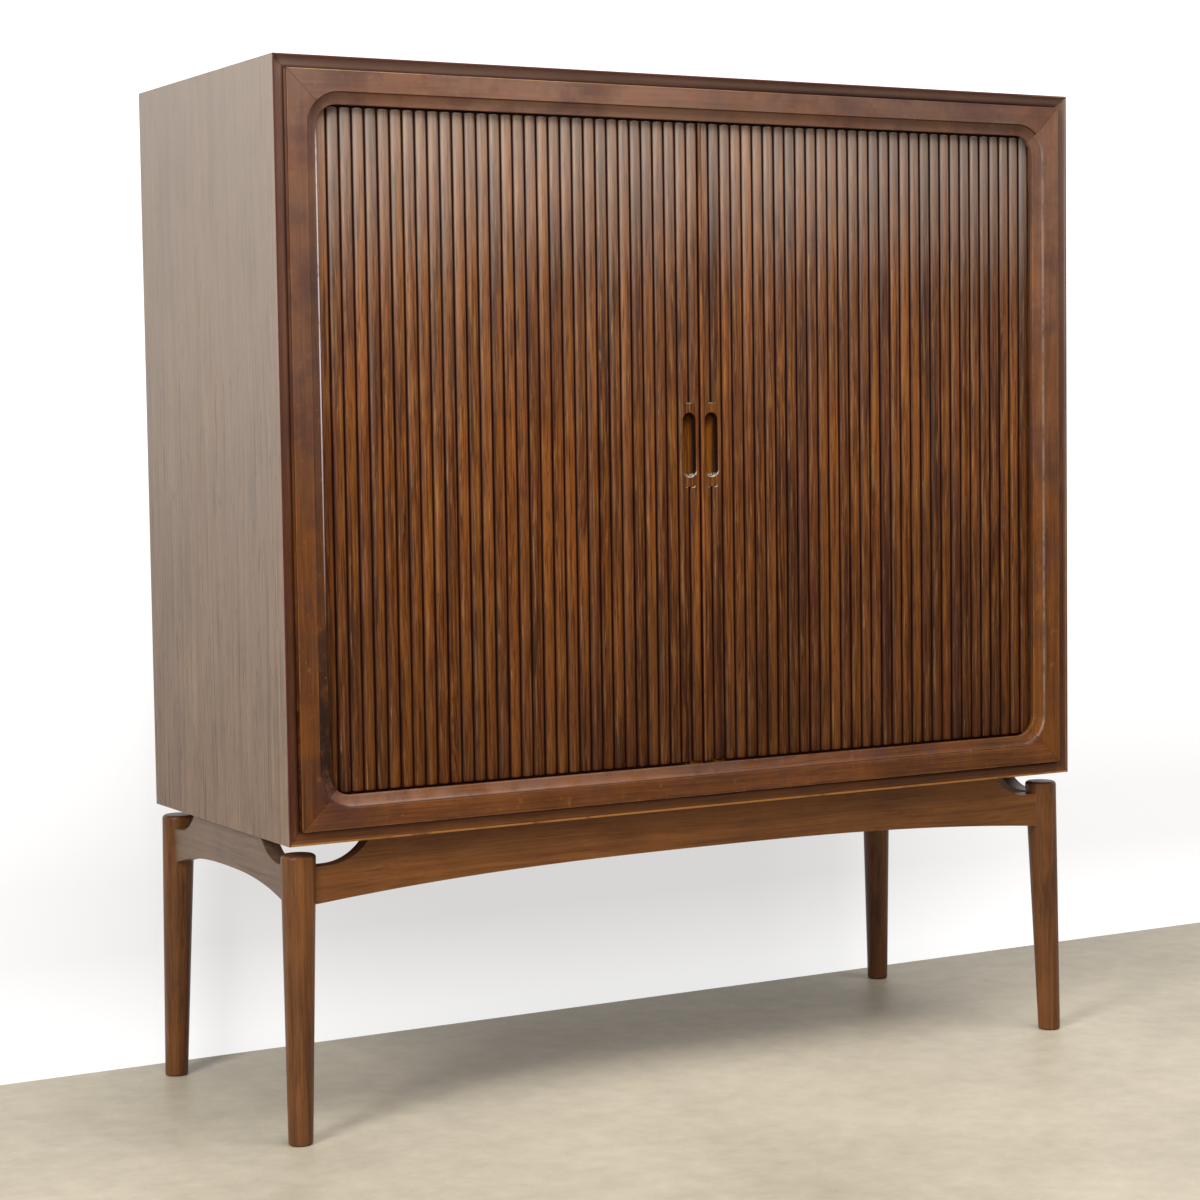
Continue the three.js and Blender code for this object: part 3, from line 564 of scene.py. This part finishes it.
def eased(node, width, materials, segments=2, mitred=False, along=None):
    """A copy of a frame node with its arrises rounded over and its mitres left tight.

    A second material goes on what faces forwards, at the front. An apron is given the axis it
    runs along: its tenons and the hollows that fit the legs stay sharp.
    """
    bm = bmesh.new()
    bm.from_mesh(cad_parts[node].data)
    bmesh.ops.remove_doubles(bm, verts=bm.verts, dist=0.00001)
    flat = [e for e in bm.edges if len(e.link_faces) == 2 and e.calc_face_angle(1) < math.radians(0.05)]
    bmesh.ops.dissolve_edges(bm, edges=flat, use_verts=False)
    bmesh.ops.remove_doubles(bm, verts=bm.verts, dist=0.0003)

    def on_mitre(face):
        return mitred and abs(abs(face.normal.x) - abs(face.normal.z)) < 0.02 and abs(face.normal.x) > 0.6

    def at_a_leg(edge):
        if along is None:
            return False
        low, high = (corner[along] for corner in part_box(node))
        return all(abs(v.co[along] - (low + high) / 2) > (high - low) / 2 - TENON - 0.002 for v in edge.verts)

    sharp = [e for e in bm.edges if len(e.link_faces) == 2 and e.calc_face_angle(0) > math.radians(28)
             and not any(on_mitre(f) for f in e.link_faces) and not at_a_leg(e)]
    bmesh.ops.bevel(bm, geom=sharp, offset=width, offset_type="OFFSET", affect="EDGES", segments=segments,
                    profile=0.5, material=-1, clamp_overlap=True)
    bmesh.ops.remove_doubles(bm, verts=bm.verts, dist=0.000005)
    front = min(v.co.y for v in bm.verts) + 0.012
    for f in bm.faces:
        if len(materials) > 1 and f.normal.y < -0.2 and f.calc_center_median().y < front:
            f.material_index = 1
    return even_shading(piece(node + "_eased", bm, materials, "cabinet", [node]))


for node, finish in (("left_side_panel", [SIDE, LIPPING]), ("right_side_panel", [SIDE_RIGHT, LIPPING]),
                     ("top_panel", [LONG, HEAD_LIPPING]), ("bottom_panel", [LONG, FOOT_LIPPING])):
    eased(node, 0.0005, finish, mitred=True)
for node, finish in (("frame_top_rail", [RAIL]), ("frame_bottom_rail", [RAIL]),
                     ("frame_left_stile", [STILE]), ("frame_right_stile", [STILE_RIGHT])):
    eased(node, 0.0009, finish, mitred=True)
for node, finish, axis in (("front_apron", APRON, 0), ("back_apron", APRON, 0),
                           ("left_apron", SHORT_APRON, 1), ("right_apron", SHORT_APRON, 1)):
    eased(node, 0.0012, [finish], segments=3, along=axis)
for node in ("left_liner", "right_liner", "centre_partition", "inner_back"):
    eased(node, 0.0005, [INSIDE])
for node in ("left_shelf_1", "left_shelf_2", "right_shelf_1", "right_shelf_2"):
    eased(node, 0.0006, [SHELF])
eased("back_panel", 0.0004, [PLY])


def leg(name, foot, head, foot_radius, head_radius, height):
    """A turned leg: a profile spun round, then leaned from its foot to its head."""
    bm = bmesh.new()
    low, high = 0.003, 0.0045
    outline = [(0.0, 0.0), (foot_radius - low, 0.0)]
    for i in range(1, 6):
        turn = math.radians(90 * i / 5)
        outline.append((foot_radius - low + low * math.sin(turn), low - low * math.cos(turn)))
    for i in range(6):
        turn = math.radians(90 * i / 5)
        outline.append((head_radius - high + high * math.cos(turn), height - high + high * math.sin(turn)))
    outline.append((0.0, height))
    verts = [bm.verts.new((x, 0.0, z)) for x, z in outline]
    edges = [bm.edges.new(pair) for pair in zip(verts, verts[1:])]
    bmesh.ops.spin(bm, geom=verts + edges, cent=(0, 0, 0), axis=(0, 0, 1), angle=math.tau, steps=64,
                   use_merge=True)
    bmesh.ops.remove_doubles(bm, verts=bm.verts, dist=0.000005)
    bmesh.ops.recalc_face_normals(bm, faces=bm.faces)
    lean = Matrix.Identity(4)
    lean[0][2] = (head[0] - foot[0]) / height
    lean[1][2] = (head[1] - foot[1]) / height
    lean[0][3], lean[1][3] = foot
    bmesh.ops.transform(bm, matrix=lean, verts=bm.verts)
    return even_shading(piece(name + "_turned", bm, [LEG], "cabinet", [name]))


for name, side, fore in (("front_left_leg", -1, True), ("front_right_leg", 1, True),
                         ("back_left_leg", -1, False), ("back_right_leg", 1, False)):
    foot = (side * 0.574, -0.202 if fore else 0.217)
    head = (side * 0.566, -0.194 if fore else 0.207)
    leg(name, foot, head, LEG_FOOT_RADIUS, LEG_HEAD_RADIUS, LEG_HEIGHT)


# Doors
def give_board(bm, verts, number):
    """Marks the faces of these vertices as one board of wood."""
    layer = bm.faces.layers.float["board"]
    for f in {f for v in verts if v.is_valid for f in v.link_faces}:
        f[layer] = number


def half_round(bm, middle, bottom, top, number):
    """A half-round slat with domed ends: a ball drawn out to its length, then halved."""
    ball = bmesh.ops.create_uvsphere(bm, u_segments=24, v_segments=11, radius=1.0)["verts"]
    widest = math.cos(math.pi / 22)
    bmesh.ops.scale(bm, vec=(SLAT_WIDTH / 2 / widest, (WEB - CREST) / widest, RIB_END), verts=ball)
    upper = [v for v in ball if v.co.z > 0]
    lower = [v for v in ball if v.co.z < 0]
    bmesh.ops.translate(bm, vec=(middle, WEB, top - RIB_END), verts=upper)
    bmesh.ops.translate(bm, vec=(middle, WEB, bottom + RIB_END), verts=lower)
    faces = {f for v in ball for f in v.link_faces}
    edges = {e for v in ball for e in v.link_edges}
    cut = bmesh.ops.bisect_plane(bm, geom=list(ball) + list(edges) + list(faces), dist=0.000001,
                                 plane_co=(0, WEB + 0.0008, 0), plane_no=(0, 1, 0), clear_outer=True)
    rim = [g for g in cut["geom_cut"] if isinstance(g, bmesh.types.BMEdge)]
    back = bmesh.ops.contextual_create(bm, geom=rim)["faces"]
    kept = {v for v in ball if v.is_valid} | {v for e in rim for v in e.verts}
    bmesh.ops.recalc_face_normals(bm, faces=list({f for v in kept for f in v.link_faces} | set(back)))
    give_board(bm, kept, number)


def block(bm, low, high, number, ease=0.0004, edges_along=None, segments=2):
    """A closed block with eased edges, all of them or those along one axis."""
    verts = bmesh.ops.create_cube(bm, size=1.0)["verts"]
    bmesh.ops.scale(bm, vec=[h - l for l, h in zip(low, high)], verts=verts)
    bmesh.ops.translate(bm, vec=[(l + h) / 2 for l, h in zip(low, high)], verts=verts)
    edges = {e for v in verts for e in v.link_edges}
    if edges_along is not None:
        edges = {e for e in edges if abs((e.verts[0].co - e.verts[1].co)[edges_along]) > 0.0001}
    made = bmesh.ops.bevel(bm, geom=list(edges), offset=ease, affect="EDGES", segments=segments, profile=0.5,
                           material=-1)
    give_board(bm, [v for v in verts if v.is_valid] + [v for f in made["faces"] for v in f.verts], number)


def new_boards():
    bm = bmesh.new()
    bm.faces.layers.float.new("board")
    return bm


def map_grain(bm, front=CREST, fall=1.0):
    """Keeps each point's resting place for the grain, and its depth behind the front."""
    grain = bm.loops.layers.uv.new("grain")
    depth = bm.verts.layers.float.new("depth")
    for v in bm.verts:
        v[depth] = max(0.0, v.co.y - front) * fall
    for f in bm.faces:
        for loop in f.loops:
            loop[grain].uv = (loop.vert.co.x, loop.vert.co.z)


def lay_cloth(bm):
    """The back faces of a section take the cloth."""
    for f in bm.faces:
        if f.calc_center_median().y > CLOTH - 0.0002:
            f.material_index = 1


random.seed(7)
TONES = {name: [random.random() * 60 for _ in range(2 * SECTIONS + 2)] for name in ("left", "right")}

for name, side in (("left", -1), ("right", 1)):
    for i in range(SECTIONS):
        node = "%s_slats_%02d" % (name, i + 1)
        low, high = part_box(node)
        bm = new_boards()
        middle = (low[0] + high[0]) / 2
        for j in (0, 1):
            half_round(bm, middle + (j - 0.5) * PITCH, RIB_BOTTOM, RIB_TOP, TONES[name][2 * i + j])
        block(bm, (low[0], WEB, low[2]), (high[0], CLOTH, high[2]), TONES[name][2 * i], 0.0003)
        map_grain(bm)
        lay_cloth(bm)
        made = piece(node + "_shaped", bm, [SLATS, LINEN], node, [node])
        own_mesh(made)


def shape_of(bm):
    """A bmesh as a plain object, for carving."""
    mesh = bpy.data.meshes.new("rough")
    bm.to_mesh(mesh)
    bm.free()
    obj = bpy.data.objects.new("rough", mesh)
    bpy.context.scene.collection.objects.link(obj)
    return obj


def carved(base, steps):
    """The base with each shape joined to it or cut from it in turn."""
    work = shape_of(base)
    others = []
    for operation, bm in steps:
        other = shape_of(bm)
        others.append(other)
        cut = work.modifiers.new("carve", "BOOLEAN")
        cut.operation = operation
        cut.solver = "EXACT"
        cut.object = other
    result = work.evaluated_get(bpy.context.evaluated_depsgraph_get())
    bm = bmesh.new()
    bm.from_mesh(result.to_mesh())
    result.to_mesh_clear()
    for obj in others + [work]:
        mesh = obj.data
        bpy.data.objects.remove(obj)
        bpy.data.meshes.remove(mesh)
    bmesh.ops.remove_doubles(bm, verts=bm.verts, dist=0.000002)
    return bm


def recess_cutter(middle):
    """An upright slot with round ends, a flared rim and a floor that curves up into its walls."""
    bm = new_boards()
    ring = bmesh.ops.create_circle(bm, segments=48, radius=RECESS_HALF_WIDTH)["verts"]
    bmesh.ops.rotate(bm, cent=(0, 0, 0), matrix=Matrix.Rotation(math.radians(90), 3, "X"), verts=ring)
    reach = RECESS_HALF_HEIGHT - RECESS_HALF_WIDTH
    for v in ring:
        v.co.z += reach if v.co.z > 0.00001 else -reach if v.co.z < -0.00001 else 0.0
    bmesh.ops.translate(bm, vec=(middle, CREST + PAD_SINK, PULL_HEIGHT), verts=ring)
    rim, wall, floor = 0.0012, 0.0070, RECESS_DEPTH - PAD_SINK
    steps = [(rim + 0.0012, -0.0020), (rim, -0.0002), (rim * 0.4, rim * 0.35), (0.0, rim)]
    for i in range(7):
        turn = math.radians(90 * i / 6)
        steps.append((-wall * (1 - math.cos(turn)), floor - wall * (1 - math.sin(turn))))
    centre_low = Vector((middle, 0, PULL_HEIGHT - reach))
    centre_high = Vector((middle, 0, PULL_HEIGHT + reach))

    def place(verts, flare, depth):
        for v in verts:
            centre = centre_high if v.co.z > PULL_HEIGHT else centre_low
            out = Vector((v.co.x - centre.x, 0, v.co.z - centre.z))
            if abs(v.co.z - PULL_HEIGHT) < reach:
                out = Vector((v.co.x - centre.x, 0, 0))
            size = out.length
            out = out * ((RECESS_HALF_WIDTH + flare) / size)
            v.co = Vector((centre.x + out.x, CREST + PAD_SINK + depth,
                           centre.z + out.z if abs(v.co.z - PULL_HEIGHT) >= reach else v.co.z))

    loop = list({e for v in ring for e in v.link_edges})
    place(ring, *steps[0])
    bmesh.ops.contextual_create(bm, geom=loop)
    for step in steps[1:]:
        grown = bmesh.ops.extrude_edge_only(bm, edges=loop)["geom"]
        loop = [g for g in grown if isinstance(g, bmesh.types.BMEdge)
                and all(v in grown for v in g.verts)]
        verts = list({v for e in loop for v in e.verts})
        place(verts, *step)
    bmesh.ops.contextual_create(bm, geom=loop)
    bmesh.ops.recalc_face_normals(bm, faces=bm.faces)
    return bm


def blocks(*sizes, number=0.0, **settings):
    bm = new_boards()
    for low, high in sizes:
        block(bm, low, high, number, **settings)
    return bm


def pad_cutter(middle, number):
    """Clears the two slats for the pad; its ends slope, so the slats end in small facets."""
    bm = blocks(((middle - PITCH / 2 + 0.0002, CREST - 0.004, PULL_HEIGHT - PAD_HALF_HEIGHT),
                 (middle + PITCH / 2 - 0.0002, WEB + 0.0006, PULL_HEIGHT + PAD_HALF_HEIGHT)),
                number=number, ease=0.0035, edges_along=1, segments=4)
    for v in bm.verts:
        if v.co.y < CREST:
            v.co.z += math.copysign(0.0042, v.co.z - PULL_HEIGHT)
    return bm


def one_half_round(middle, number):
    bm = new_boards()
    half_round(bm, middle, RIB_BOTTOM, RIB_TOP, number)
    return bm


for name, side in (("left", -1), ("right", 1)):
    node = name + "_lead_stile"
    low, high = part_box(node)
    tone = TONES[name][-2:]
    middle = side * PITCH
    pad_low, pad_high = PULL_HEIGHT - PAD_HALF_HEIGHT - 0.001, PULL_HEIGHT + PAD_HALF_HEIGHT + 0.001
    steps = [
        ("UNION", blocks(((low[0], WEB + 0.0002, RIB_BOTTOM), (high[0], STILE_BACK, RIB_TOP)),
                         number=tone[0])),
        ("UNION", one_half_round(middle - PITCH / 2, tone[0])),
        ("UNION", one_half_round(middle + PITCH / 2, tone[1])),
        ("DIFFERENCE", pad_cutter(middle, tone[0])),
        ("UNION", blocks(((middle - PITCH / 2 - 0.001, CREST + PAD_SINK, pad_low),
                          (middle + PITCH / 2 + 0.001, CLOTH, pad_high)),
                         number=tone[0], ease=0.0006)),
        ("DIFFERENCE", recess_cutter(middle)),
    ]
    if side > 0:
        steps.append(("DIFFERENCE", blocks(((-0.002, CREST - 0.003, RIB_BOTTOM - 0.002),
                                            (0.00525, CREST + 0.0053, RIB_TOP + 0.002)), ease=0.0003)))
    bm = carved(blocks(((low[0], WEB, low[2]), (high[0], CLOTH, high[2])), number=tone[0]), steps)
    map_grain(bm)
    for f in bm.faces:
        at = f.calc_center_median()
        inside = (abs(at.x - middle) < RECESS_HALF_WIDTH + 0.0002
                  and abs(at.z - PULL_HEIGHT) < RECESS_HALF_HEIGHT + 0.0002)
        if at.y > STILE_BACK - 0.0002:
            f.material_index = 1
        elif inside and CREST + PAD_SINK + 0.0004 < at.y < CREST + RECESS_DEPTH + 0.0005:
            f.material_index = 2
    piece(node + "_shaped", bm, [SLATS, LINEN, RECESS], name + "_door_lead", [node])

bead = new_boards()
low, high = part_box("meeting_bead")
block(bead, low, high, TONES["left"][-1] + 3.0, ease=0.0019, segments=4)
map_grain(bead, low[1], 2.2)
piece("meeting_bead_rounded", bead, [BEAD], "left_door_lead", ["meeting_bead"])

for node in ("left_corner_slats", "right_corner_slats"):
    eased(node, 0.0004, [CORNER_SLATS])


def back_screws():
    """Round-headed screws along the back panel's edges, each with a slot."""
    bm = bmesh.new()
    low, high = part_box("back_panel")
    spots = [(x, z) for x in (low[0] + 0.012, high[0] - 0.012) for z in (0.42, 0.63, 0.836, 1.04, 1.25)]
    spots += [(x, z) for z in (low[2] + 0.012, high[2] - 0.012) for x in (-0.40, -0.2, 0.0, 0.2, 0.40)]
    for i, (x, z) in enumerate(spots):
        dome = bmesh.ops.create_uvsphere(bm, u_segments=16, v_segments=8, radius=0.0032)["verts"]
        bmesh.ops.scale(bm, vec=(1, 1, 0.38), verts=dome)
        slot = [v for v in dome if v.co.z > 0.0004 and abs(v.co.x) < 0.0005]
        bmesh.ops.translate(bm, vec=(0, 0, -0.0003), verts=slot)
        bmesh.ops.rotate(bm, cent=(0, 0, 0), matrix=Matrix.Rotation(i * 0.7, 3, "Z"), verts=dome)
        bmesh.ops.rotate(bm, cent=(0, 0, 0), matrix=Matrix.Rotation(math.radians(-90), 3, "X"), verts=dome)
        bmesh.ops.translate(bm, vec=(x, high[1], z), verts=dome)
    bmesh.ops.recalc_face_normals(bm, faces=bm.faces)
    piece("back_screws", bm, [BRASS], "cabinet", [])


back_screws()


# Stage, light and camera
def stage_plane(name, corners, material):
    bm = bmesh.new()
    bm.faces.new([bm.verts.new(c) for c in corners])
    mesh = bpy.data.meshes.new(name)
    bm.to_mesh(mesh)
    bm.free()
    mesh.materials.append(material)
    obj = bpy.data.objects.new(name, mesh)
    bpy.context.scene.collection.objects.link(obj)


def concrete():
    made, b, shader = new_material("plain floor")
    place = b.node("TexCoord").outputs["Object"]
    clouds = b.noise(place, (1.1, 1.1, 1.1), 5.0, 0.6)
    grit = b.noise(place, (26.0, 26.0, 26.0), 5.0, 0.7)
    share = b.add(b.times(clouds, 0.7), b.times(grit, 0.3))
    b.put(b.mix(b.ramp(share, 0.38, 0.62), tint("aea38f"), tint("d3c7af")), shader.inputs["Base Color"])
    shader.inputs["Roughness"].default_value = 0.5
    return made


def wall_paint():
    """A glowing backdrop, white to the camera and to reflections from the front; unseen from behind and by
    the lamps.
    """
    made, b, shader = new_material("plain wall")
    out = next(n for n in made.node_tree.nodes if n.type == "OUTPUT_MATERIAL")
    shader.inputs["Base Color"].default_value = tint("8c8c8c")
    shader.inputs["Roughness"].default_value = 0.9
    shader.inputs["Emission Color"].default_value = (1, 1, 1, 1)
    place = b.node("SeparateXYZ", {0: b.node("TexCoord").outputs["Object"]}).outputs
    # The glow is dimmer behind the cabinet's lower part and fuller at the sides, up high and at the floor
    # line: painted shade on the backdrop.
    glow = b.add(0.61, b.times(b.ramp(place[0], -0.3, -0.8), 0.1),
                 b.times(b.ramp(place[0], 0.4, 0.9), 0.16), b.times(b.ramp(place[2], 0.16, 0.03), 0.15),
                 b.times(b.ramp(place[2], 0.25, 0.85), 0.37))
    b.put(glow, shader.inputs["Emission Strength"])
    path = b.node("LightPath").outputs
    seen = b.math("MAXIMUM", path["Is Camera Ray"], path["Is Glossy Ray"])
    behind = b.node("NewGeometry").outputs["Backfacing"]
    shown = b.times(seen, b.math("SUBTRACT", 1.0, behind))
    clear = b.node("BsdfTransparent").outputs[0]
    b.put(b.node("MixShader", {0: shown, 1: clear, 2: shader.outputs[0]}).outputs[0], out.inputs[0])
    return made


REACH = 9  # of the floor and the wall to each side, in metres
WALL = 0.288  # just behind the cabinet
WALL_TOP = 6
stage_plane("floor", [(-REACH, -REACH, 0), (REACH, -REACH, 0), (REACH, REACH, 0), (-REACH, REACH, 0)],
            concrete())
stage_plane("wall", [(-REACH, WALL, 0), (REACH, WALL, 0), (REACH, WALL, WALL_TOP), (-REACH, WALL, WALL_TOP)],
            wall_paint())


def lamp(name, place, towards, size, watts):
    light = bpy.data.lights.new(name, "AREA")
    light.shape = "RECTANGLE"
    light.size, light.size_y = size
    light.energy = watts
    obj = bpy.data.objects.new(name, light)
    obj.location = place
    obj.rotation_euler = (Vector(towards) - Vector(place)).to_track_quat("-Z", "Y").to_euler()
    bpy.context.scene.collection.objects.link(obj)


lamp("ceiling light", (0.2, -1.5, 3.6), (0, 0, 0.5), (3.0, 1.6), 100)
lamp("left light", (-3.4, -2.0, 2.3), (0, -0.1, 0.8), (1.0, 2.2), 120)

scene = bpy.context.scene
world = bpy.data.worlds.new("white room")
scene.world = world
world.use_nodes = True
world.node_tree.nodes.clear()
sky = Board(world.node_tree)
rays = sky.node("LightPath").outputs
shown = sky.math("MAXIMUM", rays["Is Camera Ray"], sky.math("MAXIMUM", rays["Is Glossy Ray"],
                                                             rays["Is Transmission Ray"]))
WORLD_FILL = 0.28
fill = sky.node("Background", {0: (1, 1, 1, 1), 1: WORLD_FILL}).outputs[0]
white = sky.node("Background", {0: (1, 1, 1, 1), 1: 1.0}).outputs[0]
both = sky.node("MixShader", {0: shown, 1: fill, 2: white}).outputs[0]
sky.put(both, sky.node("OutputWorld").inputs[0])

scene.view_settings.view_transform = "Standard"

# The photograph's viewpoint, solved from the case's corners, legs and slats
CAMERA = (-1.8643, -3.2406, 0.8809)
FOCAL_PIXELS = 2750.16
PICTURE_PIXELS = 1200
SENSOR = 36.0  # millimetres
yaw, pitch, roll = 0.5144, -0.0685, -0.0142
look = Vector((math.sin(yaw) * math.cos(pitch), math.cos(yaw) * math.cos(pitch), math.sin(pitch)))
right = Vector((math.cos(yaw), -math.sin(yaw), 0.0))
up = right.cross(look)
rolled_right = math.cos(roll) * right + math.sin(roll) * up
rolled_up = math.cos(roll) * up - math.sin(roll) * right
view = bpy.data.cameras.new("view")
view.sensor_width = SENSOR
view.lens = FOCAL_PIXELS / PICTURE_PIXELS * SENSOR
view.clip_end = 60.0
camera = bpy.data.objects.new("view", view)
turn = Matrix((rolled_right, rolled_up, -look)).transposed().to_4x4()
camera.matrix_world = Matrix.Translation(CAMERA) @ turn
scene.collection.objects.link(camera)
scene.camera = camera
